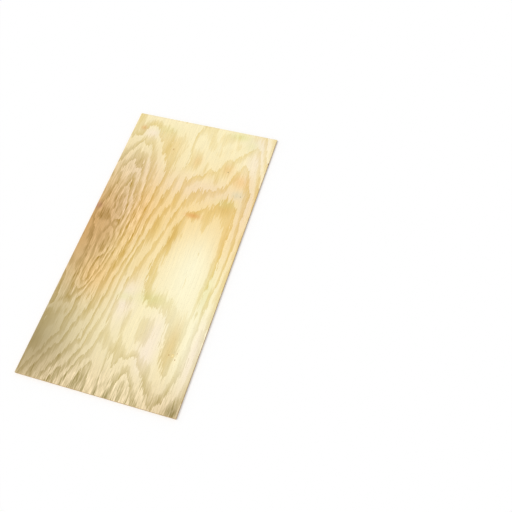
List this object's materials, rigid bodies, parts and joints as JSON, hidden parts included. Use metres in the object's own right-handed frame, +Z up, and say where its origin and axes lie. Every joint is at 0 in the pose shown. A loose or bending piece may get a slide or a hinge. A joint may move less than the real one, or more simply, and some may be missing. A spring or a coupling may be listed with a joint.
{
  "type": "plywood sheet",
  "caption": "Flat rectangular sheet of sanded softwood plywood lying with its good face up, for floors, walls, roofs, shelves and cut panels.",
  "frame": {"origin": "centre of the underside, which lies on the floor", "axes": "+Y along the sheet's length and the face grain, +X across the sheet, +Z up out of the good face"},
  "size_m": [1.2192, 2.4384, 0.0183],
  "materials": {
    "softwood_plywood": "sanded, unfinished"
  },
  "bodies": {
    "root": {"plywood_sheet": "softwood_plywood"}
  },
  "joints": []
}
